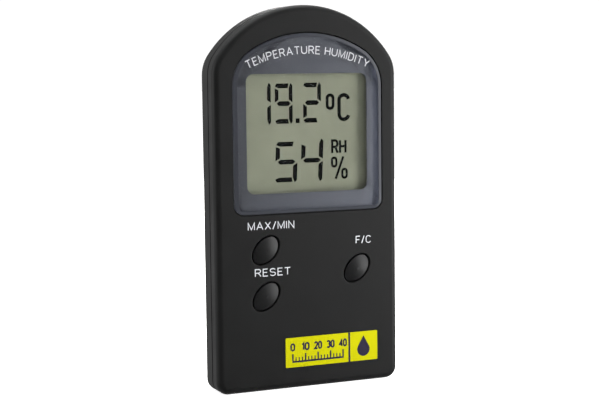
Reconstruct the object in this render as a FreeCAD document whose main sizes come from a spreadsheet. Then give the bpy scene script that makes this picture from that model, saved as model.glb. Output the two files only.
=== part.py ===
import FreeCAD, Part
import math
import os
import re
import Sketcher
from FreeCAD import Placement, Rotation, Vector

os.makedirs("parts", exist_ok=True)
doc = FreeCAD.newDocument("MaxMinThermometer")

# Frame: +X right, +Y rearwards, +Z up. Origin: centre of the flat base. Millimetres.
SIZES = {
    # case outline, shared by both covers
    "half_width": 28.5,
    "case_height": 110.2,
    "crown_radius": 32.5,
    "shoulder_radius": 10.3,
    "corner_radius": 3.5,
    "case_wall": 1.8,
    # depths, each a Y position
    "lens_front_y": -8.0,
    "lens_bevel_y": -7.65,
    "face_y": -7.6,
    "lens_back_y": -6.6,
    "mask_back_y": -6.5,
    "seat_y": -6.35,
    "key_wall_y": -5.8,
    "tray_floor_y": -5.5,
    "frame_y": -4.3,
    "seam_y": -3.1,
    "rear_edge_y": -2.7,
    "tongue_end_y": -1.7,
    "board_front_y": -0.9,
    "board_back_y": 0.1,
    "slope_y": 1.8,
    "boss_meet_y": 2.0,
    "recess_back_y": 4.0,
    "recess_floor_y": 5.0,
    "head_seat_y": 5.6,
    "wall_inner_y": 6.2,
    "groove_back_y": 7.15,
    "back_y": 8.0,
    # front cover
    "face_fillet": 1.9,
    "seam_fillet": 0.2,
    "rear_fillet": 0.8,
    "reveal_depth": 0.5,
    "tongue_inset": 1.05,
    "key_zone_top": 49.5,
    "frame_half": 20.4,
    "frame_bottom": 56.0,
    "frame_top": 91.4,
    "frame_corner": 2.6,
    # rear cover
    "rebate_inset": 1.0,
    "rear_inset": 3.6,
    "rear_corner": 0.9,
    "inner_slope_y": 1.2,
    "inner_inset": 4.7,
    "keyhole_z": 88.5,
    "keyhole_radius": 3.75,
    "slot_radius": 1.9,
    "slot_rise": 6.0,
    "vent_pitch": 2.6,
    "vent_bottom": 69.0,
    "vent_half": 8.0,
    # display lens
    "lens_middle": 0.36,
    "lens_half": 23.0,
    "lens_bottom": 51.2,
    "lens_top": 102.2,
    "lens_crown": 33.5,
    "lens_shoulder": 12.0,
    "lens_corner": 2.75,
    "lens_gap": 0.4,
    "lens_bevel": 1.0,
    "window_half": 18.8,
    "window_bottom": 56.8,
    "window_top": 90.76,
    "window_corner": 2.3,
    # display stack
    "glass_half": 21.4,
    "glass_bottom": 52.4,
    "glass_ledge": 55.4,
    "glass_top": 93.0,
    "glass_thick": 0.8,
    "film_thick": 0.2,
    "holder_half": 23.0,
    "holder_bottom": 50.6,
    "holder_top": 94.8,
    # circuit board
    "board_half": 25.0,
    "board_bottom": 23.5,
    "board_top": 95.5,
    "board_chamfer": 6.0,
    "tab_half": 4.5,
    "tab_top": 100.6,
    "board_screw_side": 23.0,
    "board_screw_low": 47.5,
    "board_screw_high": 98.0,
    # keys
    "key_left": -13.48,
    "key_right": 15.2,
    "key_max_min_z": 40.8,
    "key_reset_z": 27.5,
    "key_unit_z": 33.88,
    "key_tilt": 44.5,
    "key_major": 9.9,
    "key_minor": 6.7,
    "key_gap": 0.42,
    "key_flange": 0.75,
    "key_proud": 0.4,
    "key_ball": 12.5,
    "key_edge": 0.25,
    "flange_front_y": -5.75,
    "flange_back_y": -5.1,
    "pill_front_y": -2.3,
    "pill_back_y": -1.92,
    "mat_front_y": -1.4,
    # cell bay and door
    "cell_radius": 5.25,
    "cell_length": 44.5,
    "cell_z": 8.6,
    "cell_axis_y": 0.85,
    "cell_tip": 24.1,
    "bay_half": 24.6,
    "bay_bottom": 3.0,
    "bay_top": 14.2,
    "tray_wall": 1.0,
    "door_top": 16.0,
    "door_half": 23.35,
    "door_gap": 0.1,
    "tongue_reach": 0.8,
    # rear stand
    "recess_half": 17.0,
    "recess_bottom": 23.6,
    "recess_top": 64.4,
    "stand_half": 15.0,
    "stand_top": 63.4,
    "hinge_y": 6.5,
    "hinge_z": 25.5,
    "hinge_radius": 1.2,
    "pivot_clearance": 0.05,
    # screws
    "case_screw_side": 22.0,
    "case_screw_low": 20.0,
    "case_screw_inner": 12.0,
    "case_screw_high": 99.5,
    "case_boss_radius": 2.6,
    "board_boss_radius": 2.0,
    "case_shank": 1.1,
    "board_shank": 0.95,
    "label_left": -7.8,
    "label_right": 21.62,
    "label_bottom": 6.3,
    "label_top": 14.95,
    "label_thick": 0.12,
}

sheet = doc.addObject("Spreadsheet::Sheet", "Dimensions")
for row, (alias, number) in enumerate(SIZES.items(), start=1):
    sheet.set("A%d" % row, alias.replace("_", " "))
    sheet.set("B%d" % row, str(number))
    sheet.setAlias("B%d" % row, alias)
doc.recompute()


def linked(rule):
    """The rule with every size name pointed at the sheet."""
    def point(word):
        return "Dimensions." + word.group() if word.group() in SIZES else word.group()
    return re.sub(r"[a-z_]+", point, str(rule))


def value(rule):
    return float(sheet.evalExpression(str(rule)))


def bind(thing, path, rule):
    thing.setExpression(path, linked(rule))


# ---------------------------------------------------------------- sketch and feature helpers

def new_body(label, place=None, turn=None):
    body = doc.addObject("PartDesign::Body", "Body_" + label)
    body.Label = label
    if turn:
        body.Placement = Placement(Vector(), Rotation(Vector(*turn[0]), value(turn[1])))
    for axis, rule in zip("xyz", place or ()):
        bind(body, "Placement.Base." + axis, rule)
    return body


def new_sketch(body, plane="XZ_Plane", offset=(0, 0, 0), turn=None):
    """Sketch on an origin plane. On XZ_Plane sketch x, y are X, Z and the normal is -Y."""
    sketch = body.newObject("Sketcher::SketchObject", "Sketch")
    support = [f for f in body.Origin.OriginFeatures if f.Role == plane][0]
    sketch.AttachmentSupport = [(support, "")]
    sketch.MapMode = "FlatFace"
    if turn is not None:
        sketch.AttachmentOffset = Placement(Vector(), Rotation(Vector(0, 0, 1), value(turn)))
    for axis, rule in zip("xyz", offset):
        bind(sketch, "AttachmentOffset.Base." + axis, rule)
    return sketch


def pin(sketch, geometry, vertex, x_rule=None, y_rule=None):
    """Hold one vertex at a distance from the sketch origin."""
    for kind, rule in (("DistanceX", x_rule), ("DistanceY", y_rule)):
        if rule is not None:
            size(sketch, rule, kind, -1, 1, geometry, vertex)


def size(sketch, rule, kind, *where):
    index = sketch.addConstraint(Sketcher.Constraint(kind, *where, value(rule)))
    bind(sketch, "Constraints[%d]" % index, rule)


def polygon(sketch, *corners):
    spots = [Vector(value(x), value(y), 0) for x, y in corners]
    lines = [sketch.addGeometry(Part.LineSegment(spots[i - 1], spots[i])) for i in range(len(spots))]
    for i, line in enumerate(lines):
        sketch.addConstraint(Sketcher.Constraint("Coincident", line, 2, lines[(i + 1) % len(lines)], 1))
        pin(sketch, line, 2, *corners[i])


def rectangle(sketch, left, right, bottom, top):
    polygon(sketch, (left, bottom), (right, bottom), (right, top), (left, top))


def circle(sketch, x_rule, y_rule, radius):
    middle = Vector(value(x_rule), value(y_rule), 0)
    ring = sketch.addGeometry(Part.Circle(middle, Vector(0, 0, 1), value(radius)))
    pin(sketch, ring, 3, x_rule, y_rule)
    size(sketch, radius, "Radius", ring)


def oval(sketch, major, minor):
    """Ellipse about the sketch origin, long axis along sketch x."""
    long_half = value(major) / 2
    short_half = value(minor) / 2
    ring = sketch.addGeometry(Part.Ellipse(Vector(long_half, 0, 0), Vector(0, short_half, 0), Vector()))
    sketch.exposeInternalGeometry(ring)
    sketch.addConstraint(Sketcher.Constraint("Coincident", ring, 3, -1, 1))
    sketch.addConstraint(Sketcher.Constraint("Horizontal", ring + 1))
    size(sketch, major, "Distance", ring + 1)
    size(sketch, minor, "Distance", ring + 2)


def arc(sketch, middle, radius, start, end):
    ring = Part.Circle(Vector(*middle, 0), Vector(0, 0, 1), radius)
    return sketch.addGeometry(Part.ArcOfCircle(ring, math.radians(start), math.radians(end)))


def line(sketch, start, end):
    return sketch.addGeometry(Part.LineSegment(Vector(*start, 0), Vector(*end, 0)))


def join_loop(sketch, loop):
    """Tangent joins round a loop of (geometry, start vertex, end vertex)."""
    for here, after in zip(loop, loop[1:] + loop[:1]):
        sketch.addConstraint(Sketcher.Constraint("Tangent", here[0], here[2], after[0], after[1]))


def round_rectangle(sketch, left, right, bottom, top, radius):
    x0, x1, y0, y1, r = [value(rule) for rule in (left, right, bottom, top, radius)]
    sides = [line(sketch, (x0 + r, y0), (x1 - r, y0)), line(sketch, (x1, y0 + r), (x1, y1 - r)),
             line(sketch, (x1 - r, y1), (x0 + r, y1)), line(sketch, (x0, y1 - r), (x0, y0 + r))]
    turns = [arc(sketch, (x1 - r, y0 + r), r, -90, 0), arc(sketch, (x1 - r, y1 - r), r, 0, 90),
             arc(sketch, (x0 + r, y1 - r), r, 90, 180), arc(sketch, (x0 + r, y0 + r), r, 180, 270)]
    join_loop(sketch, [(g, 1, 2) for pair in zip(sides, turns) for g in pair])
    for side, kind in zip(sides, ("Horizontal", "Vertical", "Horizontal", "Vertical")):
        sketch.addConstraint(Sketcher.Constraint(kind, side))
    size(sketch, radius, "Radius", turns[0])
    for turn in turns[1:]:
        sketch.addConstraint(Sketcher.Constraint("Equal", turns[0], turn))
    pin(sketch, sides[0], 1, None, bottom)
    pin(sketch, sides[1], 1, right)
    pin(sketch, sides[2], 1, None, top)
    pin(sketch, sides[3], 1, left)


def arched_outline(sketch, half, base, top, crown, shoulder, corner):
    """Straight sides and base, small bottom corners, arched crown blended by two shoulders."""
    a, z0, z1, rc, rs, rb = [value(rule) for rule in (half, base, top, crown, shoulder, corner)]
    middle_z = z1 - rc
    shoulder_x = a - rs
    shoulder_z = middle_z + math.sqrt((rc - rs) ** 2 - shoulder_x ** 2)
    blend = math.degrees(math.atan2(shoulder_z - middle_z, shoulder_x))
    loop = [line(sketch, (rb - a, z0), (a - rb, z0)),
            arc(sketch, (a - rb, z0 + rb), rb, -90, 0),
            line(sketch, (a, z0 + rb), (a, shoulder_z)),
            arc(sketch, (shoulder_x, shoulder_z), rs, 0, blend),
            arc(sketch, (0, middle_z), rc, blend, 180 - blend),
            arc(sketch, (-shoulder_x, shoulder_z), rs, 180 - blend, 180),
            line(sketch, (-a, shoulder_z), (-a, z0 + rb)),
            arc(sketch, (rb - a, z0 + rb), rb, 180, 270)]
    join_loop(sketch, [(g, 1, 2) for g in loop])
    sketch.addConstraint(Sketcher.Constraint("Horizontal", loop[0]))
    sketch.addConstraint(Sketcher.Constraint("Vertical", loop[2]))
    sketch.addConstraint(Sketcher.Constraint("Vertical", loop[6]))
    sketch.addConstraint(Sketcher.Constraint("Equal", loop[1], loop[7]))
    sketch.addConstraint(Sketcher.Constraint("Equal", loop[3], loop[5]))
    pin(sketch, loop[0], 1, None, base)
    pin(sketch, loop[2], 1, half)
    pin(sketch, loop[6], 1, "-(%s)" % half)
    pin(sketch, loop[4], 3, 0, "(%s) - (%s)" % (top, crown))
    size(sketch, crown, "Radius", loop[4])
    size(sketch, shoulder, "Radius", loop[3])
    size(sketch, corner, "Radius", loop[1])


def case_outline(sketch, inset=0, base=None, corner=None):
    arched_outline(sketch, "half_width - (%s)" % inset, base or "0 + %s" % inset,
                   "case_height - (%s)" % inset, "crown_radius - (%s)" % inset,
                   "shoulder_radius - (%s)" % inset, corner or "corner_radius - (%s)" % inset)


def lens_outline(sketch, grow):
    arched_outline(sketch, "lens_half + (%s)" % grow, "lens_bottom - (%s)" % grow,
                   "lens_top + (%s)" % grow, "lens_crown + (%s)" % grow,
                   "lens_shoulder + (%s)" % grow, "lens_corner + (%s)" % grow)


def feature(body, kind, profile, **settings):
    before = body.Shape.Volume if body.Tip else 0.0
    made = body.newObject("PartDesign::" + kind, kind)
    made.Profile = profile
    for name, setting in settings.items():
        setattr(made, name, setting)
    return made, before


def settle(body, made, before, grows):
    doc.recompute()
    change = body.Shape.Volume - before
    if (change > 1e-6) != grows or abs(change) < 1e-6:
        raise ValueError("%s: %s changed the volume by %g" % (body.Label, made.Name, change))
    return made


def extrude(kind, body, front, back, draw, turn=None, x_rule=0, z_rule=0):
    sketch = new_sketch(body, offset=(x_rule, z_rule, "-(%s)" % front), turn=turn)
    draw(sketch)
    made, before = feature(body, kind, sketch, Reversed=(kind == "Pad"))
    bind(made, "Length", "(%s) - (%s)" % (back, front))
    return settle(body, made, before, kind == "Pad")


def pad(body, front, back, draw, **where):
    """Material from Y=front to Y=back."""
    return extrude("Pad", body, front, back, draw, **where)


def cut(body, front, back, draw, **where):
    """Material removed from Y=front to Y=back."""
    return extrude("Pocket", body, front, back, draw, **where)


def across(kind, body, width, draw, middle=0):
    """Pad or pocket along X, centred on X=middle; sketch x, y are Y, Z."""
    sketch = new_sketch(body, "YZ_Plane", (0, 0, middle))
    draw(sketch)
    made, before = feature(body, kind, sketch, Midplane=True)
    bind(made, "Length", width)
    return settle(body, made, before, kind == "Pad")


def loft(kind, body, front, back, draw_front, draw_back):
    first = new_sketch(body, offset=(0, 0, "-(%s)" % front))
    draw_front(first)
    last = new_sketch(body, offset=(0, 0, "-(%s)" % back))
    draw_back(last)
    made, before = feature(body, kind, first, Sections=[last], Ruled=True)
    return settle(body, made, before, kind == "AdditiveLoft")


def spin(kind, body, corners):
    """Revolve a closed (radius, Y) outline about the body's own Y axis."""
    sketch = new_sketch(body, "XY_Plane")
    polygon(sketch, *corners)
    made, before = feature(body, kind, sketch, ReferenceAxis=(sketch, ["V_Axis"]), Angle=360)
    return settle(body, made, before, kind == "Revolution")


def mirror(body, *originals):
    """Repeat features on the other side of X=0."""
    before = body.Shape.Volume
    made = body.newObject("PartDesign::Mirrored", "Mirrored")
    made.Originals = list(originals)
    plane = [f for f in body.Origin.OriginFeatures if f.Role == "YZ_Plane"][0]
    made.MirrorPlane = (plane, [""])
    body.Tip = made
    return settle(body, made, before, originals[0].TypeId.endswith(("Pad", "Revolution")))


def repeat_up(body, original, pitch, count):
    before = body.Shape.Volume
    made = body.newObject("PartDesign::LinearPattern", "LinearPattern")
    made.Originals = [original]
    axis = [f for f in body.Origin.OriginFeatures if f.Role == "Z_Axis"][0]
    made.Direction = (axis, [""])
    made.Occurrences = count
    bind(made, "Length", "(%s) * %d" % (pitch, count - 1))
    body.Tip = made
    return settle(body, made, before, original.TypeId.endswith("Pad"))


def edges_where(shape, test):
    return ["Edge%d" % n for n, edge in enumerate(shape.Edges, start=1) if test(edge)]


def lies_at_y(edge, level):
    return edge.BoundBox.YMax < level + 1e-4 and edge.BoundBox.YMin > level - 1e-4


def is_oval(edge):
    return edge.Curve.TypeId == "Part::GeomEllipse"


def soften(body, kind, rule, test):
    """Fillet or chamfer the chosen edges of the body's tip."""
    before = body.Shape.Volume
    base = body.Tip
    made = body.newObject("PartDesign::" + kind, kind)
    made.Base = (base, edges_where(base.Shape, test))
    bind(made, "Radius" if kind == "Fillet" else "Size", rule)
    return settle(body, made, before, False)


KEYS = (("max_min", "key_left", "key_max_min_z"),
        ("reset", "key_left", "key_reset_z"),
        ("unit", "key_right", "key_unit_z"))


# ---------------------------------------------------------------- case

def front_cover():
    body = new_body("front_cover")
    pad(body, "face_y", "seam_y", lambda s: case_outline(s))
    face = value("face_y")
    seam = value("seam_y")
    soften(body, "Fillet", "face_fillet", lambda edge: lies_at_y(edge, face))
    soften(body, "Fillet", "seam_fillet", lambda edge: lies_at_y(edge, seam))
    pad(body, "seam_y", "rear_edge_y", lambda s: case_outline(s, "reveal_depth"))
    pad(body, "rear_edge_y", "tongue_end_y", lambda s: case_outline(s, "tongue_inset"))
    cut(body, "frame_y", "tongue_end_y", lambda s: case_outline(s, "case_wall"))
    inner = "half_width - case_wall"
    cut(body, "key_wall_y", "frame_y", lambda s: round_rectangle(
        s, "case_wall - half_width", inner, "case_wall", "key_zone_top", "corner_radius - case_wall"))
    cut(body, "face_y", "seat_y", lambda s: lens_outline(s, "lens_gap"), x_rule="lens_middle")
    cut(body, "seat_y", "frame_y", lambda s: round_rectangle(
        s, "-frame_half", "frame_half", "frame_bottom", "frame_top", "frame_corner"),
        x_rule="lens_middle")
    for name, key_x, key_z in KEYS:
        cut(body, "face_y", "key_wall_y", lambda s: oval(s, "key_major", "key_minor"),
            turn="key_tilt", x_rule=key_x, z_rule=key_z)
    soften(body, "Fillet", "key_edge", lambda edge: lies_at_y(edge, face) and is_oval(edge))
    front_bosses(body)
    return body


def front_bosses(body):
    """Screw bosses: four meet the rear cover, three carry the board."""
    low = pad(body, "key_wall_y", "boss_meet_y",
              lambda s: circle(s, "case_screw_side", "case_screw_low", "case_boss_radius"))
    high = pad(body, "frame_y", "boss_meet_y",
               lambda s: circle(s, "case_screw_inner", "case_screw_high", "case_boss_radius"))
    side = pad(body, "key_wall_y", "board_front_y",
               lambda s: circle(s, "board_screw_side", "board_screw_low", "board_boss_radius"))
    mirror(body, low, high, side)
    pad(body, "frame_y", "board_front_y",
        lambda s: circle(s, 0, "board_screw_high", "board_boss_radius"))
    holes = [cut(body, "boss_meet_y - 5.4", "boss_meet_y",
                 lambda s: circle(s, "case_screw_side", "case_screw_low", "case_shank + 0.02")),
             cut(body, "boss_meet_y - 5.4", "boss_meet_y",
                 lambda s: circle(s, "case_screw_inner", "case_screw_high", "case_shank + 0.02")),
             cut(body, "board_front_y - 3.1", "board_front_y",
                 lambda s: circle(s, "board_screw_side", "board_screw_low", "board_shank + 0.02"))]
    mirror(body, *holes)
    cut(body, "board_front_y - 3.1", "board_front_y",
        lambda s: circle(s, 0, "board_screw_high", "board_shank + 0.02"))


def rear_cover():
    body = new_body("rear_cover")
    pad(body, "rear_edge_y", "slope_y", lambda s: case_outline(s))
    rim = value("rear_edge_y")
    soften(body, "Fillet", "seam_fillet", lambda edge: lies_at_y(edge, rim))
    loft("AdditiveLoft", body, "slope_y", "back_y", lambda s: case_outline(s),
         lambda s: case_outline(s, "rear_inset", "0", "rear_corner"))
    back = value("back_y")
    soften(body, "Fillet", "rear_fillet", lambda edge: lies_at_y(edge, back) and edge.BoundBox.ZMax > 1)
    cut(body, "rear_edge_y", "tongue_end_y + 0.1", lambda s: case_outline(s, "rebate_inset"))
    cut(body, "tongue_end_y + 0.1", "inner_slope_y", lambda s: case_outline(s, "case_wall"))
    loft("SubtractiveLoft", body, "inner_slope_y", "wall_inner_y",
         lambda s: case_outline(s, "case_wall"),
         lambda s: case_outline(s, "inner_inset", "case_wall", "corner_radius - case_wall - 1.0"))
    cell_bay(body)
    stand_recess(body)
    keyhole(body)
    vents(body)
    rear_bosses(body)
    return body


def cell_bay(body):
    outer = "bay_half + tray_wall + 0.2"
    top = "bay_top + tray_wall"
    pad(body, "tray_floor_y", "tongue_end_y + 0.3", lambda s: rectangle(
        s, "-(bay_half + tray_wall)", "bay_half + tray_wall", "bay_bottom - tray_wall", top))
    pad(body, "tongue_end_y + 0.3", "wall_inner_y + 0.2", lambda s: rectangle(
        s, "-(%s)" % outer, outer, "case_wall - 0.2", top))
    cut(body, "tray_floor_y + tray_wall", "back_y", lambda s: rectangle(
        s, "-(door_half + door_gap)", "door_half + door_gap", "bay_bottom", "bay_top"))
    cut(body, "tray_floor_y + tray_wall", "wall_inner_y", lambda s: rectangle(
        s, "-bay_half", "bay_half", "bay_bottom", "bay_top"))
    cut(body, "wall_inner_y", "back_y", lambda s: rectangle(
        s, "-(door_half + door_gap)", "door_half + door_gap", "-1", "door_top + door_gap"))
    reach = "door_half + door_gap + tongue_reach"
    cut(body, "wall_inner_y", "groove_back_y", lambda s: rectangle(
        s, "-(%s)" % reach, reach, "-1", "door_top - 0.3"))
    slot = cut(body, "cell_axis_y - 1.75", "cell_axis_y + 1.15", lambda s: rectangle(
        s, "bay_half - 0.6", "bay_half", "bay_top", "bay_top + tray_wall"))
    mirror(body, slot)


def stand_recess(body):
    rim = "recess_half + 2.0"
    pad(body, "recess_back_y", "wall_inner_y", lambda s: rectangle(
        s, "-(%s)" % rim, rim, "recess_bottom - 1.6", "recess_top + 1.6"))
    cut(body, "recess_floor_y", "back_y", lambda s: rectangle(
        s, "-recess_half", "recess_half", "recess_bottom", "recess_top"))
    across("Pocket", body, "(recess_half + 1.2) * 2", lambda s: circle(
        s, "hinge_y", "hinge_z", "hinge_radius + pivot_clearance"))
    cut(body, "back_y - 1.2", "back_y", lambda s: circle(s, 0, "recess_top", "5"))


def keyhole(body):
    """Hanging hole: round entry, narrow slot above it, closed pocket behind for the nail head."""
    pad(body, "recess_back_y - 1.0", "wall_inner_y", lambda s: rectangle(
        s, "-5.5", "5.5", "keyhole_z - 5.1", "keyhole_z + 10.9"))
    cut(body, "recess_back_y", "wall_inner_y", lambda s: rectangle(
        s, "-4.6", "4.6", "keyhole_z - 4.2", "keyhole_z + 10.0"))
    cut(body, "wall_inner_y", "back_y", lambda s: circle(s, 0, "keyhole_z", "keyhole_radius"))
    cut(body, "wall_inner_y", "back_y", lambda s: round_rectangle(
        s, "-slot_radius", "slot_radius", "keyhole_z", "keyhole_z + slot_rise + slot_radius",
        "slot_radius - 0.05"))


def vents(body):
    slot = cut(body, "wall_inner_y", "back_y", lambda s: round_rectangle(
        s, "-vent_half", "vent_half", "vent_bottom", "vent_bottom + 1.2", "0.55"))
    repeat_up(body, slot, "vent_pitch", 5)


def rear_bosses(body):
    spots = (("case_screw_side", "case_screw_low"), ("case_screw_inner", "case_screw_high"))
    bosses = [pad(body, "boss_meet_y + 0.05", "wall_inner_y + 0.5",
                  lambda s: circle(s, x, z, "case_boss_radius")) for x, z in spots]
    mirror(body, *bosses)
    holes = [cut(body, "boss_meet_y + 0.05", "head_seat_y",
                 lambda s: circle(s, x, z, "case_shank + 0.15")) for x, z in spots]
    holes += [cut(body, "head_seat_y", "back_y", lambda s: circle(s, x, z, "2.2")) for x, z in spots]
    mirror(body, *holes)


def battery_door():
    """Flat door with side tongues; it slides off downwards."""
    body = new_body("battery_door")
    pad(body, "wall_inner_y + 0.1", "back_y", lambda s: rectangle(
        s, "-door_half", "door_half", "0.1", "door_top"))
    back = value("back_y")
    soften(body, "Fillet", "0.25", lambda edge: lies_at_y(edge, back))
    tongue = pad(body, "wall_inner_y + 0.1", "groove_back_y - door_gap", lambda s: rectangle(
        s, "door_half - 0.1", "door_half + tongue_reach", "0.1", "door_top - 0.45"))
    mirror(body, tongue)
    cut(body, "back_y - 0.35", "back_y", lambda s: round_rectangle(s, "-9", "9", "2.4", "12.6", "2.5"))
    rib = pad(body, "back_y - 0.35", "back_y - 0.05", lambda s: round_rectangle(
        s, "-6.5", "6.5", "4.0", "4.7", "0.33"))
    repeat_up(body, rib, "1.6", 5)
    return body


def stand():
    """Fold-out easel leg; its foot is a round barrel with two stub pivots."""
    body = new_body("stand")
    near = "hinge_y - hinge_radius"
    far = "hinge_y + hinge_radius"
    across("Pad", body, "stand_half * 2", lambda s: round_rectangle(
        s, near, far, "hinge_z - hinge_radius", "stand_top", "hinge_radius - 0.02"))
    across("Pad", body, "(recess_half + 1.0) * 2",
           lambda s: circle(s, "hinge_y", "hinge_z", "hinge_radius"))
    corner = cut(body, near, far, lambda s: polygon(
        s, ("stand_half - 3", "stand_top + 0.1"), ("stand_half + 0.1", "stand_top - 3"),
        ("stand_half + 0.1", "stand_top + 0.1")))
    mirror(body, corner)
    cut(body, near, far, lambda s: round_rectangle(s, "-10", "10", "hinge_z + 5", "stand_top - 8", "3"))
    cut(body, near, near + " + 0.5", lambda s: round_rectangle(
        s, "-12.5", "12.5", "hinge_z + 2.5", "stand_top - 2.5", "3"))
    return body


# ---------------------------------------------------------------- lens, label, display

def display_lens():
    body = new_body("display_lens", ("lens_middle",))
    pad(body, "lens_bevel_y", "lens_back_y", lambda s: lens_outline(s, 0))
    loft("AdditiveLoft", body, "lens_front_y", "lens_bevel_y",
         lambda s: lens_outline(s, "-lens_bevel"), lambda s: lens_outline(s, 0))
    return body


def window_frame(body, front, back, grow, inset):
    pad(body, front, back, lambda s: lens_outline(s, "-(%s)" % inset))
    cut(body, front, back, lambda s: round_rectangle(
        s, "-(window_half + (%s))" % grow, "window_half + (%s)" % grow,
        "window_bottom - (%s)" % grow, "window_top + (%s)" % grow, "window_corner + (%s)" % grow))


def lens_mask():
    body = new_body("lens_mask", ("lens_middle",))
    window_frame(body, "lens_back_y", "mask_back_y", "0", "0.05")
    return body


def lens_tape():
    body = new_body("lens_tape", ("lens_middle",))
    window_frame(body, "mask_back_y", "seat_y", "0.8", "0.4")
    return body


def front_label():
    body = new_body("front_label")
    pad(body, "face_y - label_thick", "face_y", lambda s: round_rectangle(
        s, "label_left", "label_right", "label_bottom", "label_top", "0.3"))
    return body


def sheet_piece(label, front, back, bottom, top, inset="0"):
    body = new_body(label)
    pad(body, front, back, lambda s: rectangle(
        s, "-(glass_half - (%s))" % inset, "glass_half - (%s)" % inset, bottom, top))
    return body


def display_stack():
    front = "frame_y + film_thick"
    middle = front + " + glass_thick"
    rear = middle + " + glass_thick"
    upper = ("glass_ledge + 0.3", "glass_top - 0.3")
    return [sheet_piece("lcd_polarizer", "frame_y", front, *upper, "0.4"),
            sheet_piece("lcd_glass_front", front, middle, "glass_bottom", "glass_top"),
            sheet_piece("lcd_glass_rear", middle, rear, "glass_ledge", "glass_top"),
            sheet_piece("lcd_reflector", rear, rear + " + film_thick", *upper, "0.4")]


def lcd_holder():
    """Frame round the glass with a rear shelf; the contact strip stands in its lower slot."""
    body = new_body("lcd_holder")
    pad(body, "frame_y + 0.05", "board_front_y", lambda s: round_rectangle(
        s, "-holder_half", "holder_half", "holder_bottom", "holder_top", "1"))
    cut(body, "frame_y + 0.05", "frame_y + 2.05", lambda s: rectangle(
        s, "-(glass_half + 0.1)", "glass_half + 0.1", "glass_bottom - 0.1", "glass_top + 0.1"))
    cut(body, "frame_y + 2.05", "board_front_y", lambda s: rectangle(
        s, "-(glass_half - 0.9)", "glass_half - 0.9", "glass_bottom + 0.2", "glass_ledge - 0.3"))
    cut(body, "frame_y + 2.85", "board_front_y", lambda s: rectangle(
        s, "-(glass_half - 1)", "glass_half - 1", "glass_ledge + 1.5", "glass_top - 2"))
    return body


def zebra_strip():
    body = new_body("zebra_strip")
    pad(body, "frame_y + film_thick + glass_thick", "board_front_y", lambda s: rectangle(
        s, "-(glass_half - 1)", "glass_half - 1", "glass_bottom + 0.3", "glass_ledge - 0.4"))
    return body


# ---------------------------------------------------------------- board and its parts

def circuit_board():
    body = new_body("circuit_board")
    side = "board_half"
    nose = "board_half - board_chamfer"
    low = "board_top - board_chamfer"
    pad(body, "board_front_y", "board_back_y", lambda s: polygon(
        s, ("-" + side, "board_bottom"), (side, "board_bottom"), (side, low), (nose, "board_top"),
        ("tab_half", "board_top"), ("tab_half", "tab_top"), ("-tab_half", "tab_top"),
        ("-tab_half", "board_top"), ("-(%s)" % nose, "board_top"), ("-" + side, low)))
    hole = cut(body, "board_front_y", "board_back_y", lambda s: circle(
        s, "board_screw_side", "board_screw_low", "board_shank + 0.15"))
    mirror(body, hole)
    cut(body, "board_front_y", "board_back_y", lambda s: circle(
        s, 0, "board_screw_high", "board_shank + 0.15"))
    return body


def chip_blob():
    body = new_body("chip_blob", (0, "board_back_y", 56))
    spin("Revolution", body, [(0, 0), (5.6, 0), (5.3, 0.45), (4.3, 0.9), (2.6, 1.2), (0, 1.3)])
    return body


def crystal():
    """Clock crystal can lying on the board with two bent wire legs."""
    body = new_body("crystal", (-14, "board_back_y + 1.15", 58))
    sketch = new_sketch(body, "XY_Plane")
    circle(sketch, 0, 0, 1.05)
    made, before = feature(body, "Pad", sketch)
    bind(made, "Length", "6.2")
    settle(body, made, before, True)
    soften(body, "Fillet", "0.35", lambda edge: edge.BoundBox.ZMin > 6.0)
    leg = pad(body, "-1.15", "-0.05", lambda s: rectangle(s, 0.3, 0.6, "-2.0", "-1.7"))
    shank = pad(body, "-0.35", "-0.05", lambda s: rectangle(s, 0.3, 0.6, "-1.8", "0.2"))
    mirror(body, leg, shank)
    return body


def humidity_sensor():
    body = new_body("humidity_sensor", (0, "board_back_y", 71))
    pad(body, 0, 2.4, lambda s: rectangle(s, "-5", "5", "0", "7"))
    slit = cut(body, 1.6, 2.4, lambda s: rectangle(s, "-3.8", "3.8", "1.0", "1.6"))
    repeat_up(body, slit, "1.1", 5)
    return body


def thermistor():
    """Glass bead on two stiff legs."""
    body = new_body("thermistor", (11.5, "board_back_y", 72))
    spin("Revolution", body, [(0, 1.2), (0.8, 1.4), (1.15, 2.2), (0.8, 3.0), (0, 3.2)])
    leg = pad(body, 0, 2.0, lambda s: rectangle(s, 0.35, 0.65, "-0.15", "0.15"))
    mirror(body, leg)
    return body


def chip_piece(label, x, z, thick):
    """Surface-mount block with metal-wrapped ends drawn as a slight step."""
    body = new_body(label, (x, "board_back_y", z))
    pad(body, 0, thick, lambda s: rectangle(s, "-0.7", "0.7", "-0.62", "0.62"))
    cap = pad(body, 0, thick + 0.04, lambda s: rectangle(s, "0.65", "1.05", "-0.64", "0.64"))
    mirror(body, cap)
    return body


def small_parts():
    rows = (("capacitor_supply", -8.5, 45, 1.0), ("capacitor_clock", -13, 68, 0.8),
            ("resistor_sense", 11.5, 66, 0.5), ("resistor_clock", -9.5, 66, 0.5),
            ("resistor_bias", 8.5, 48, 0.5))
    return [chip_piece(*row) for row in rows]


# ---------------------------------------------------------------- keys

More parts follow.
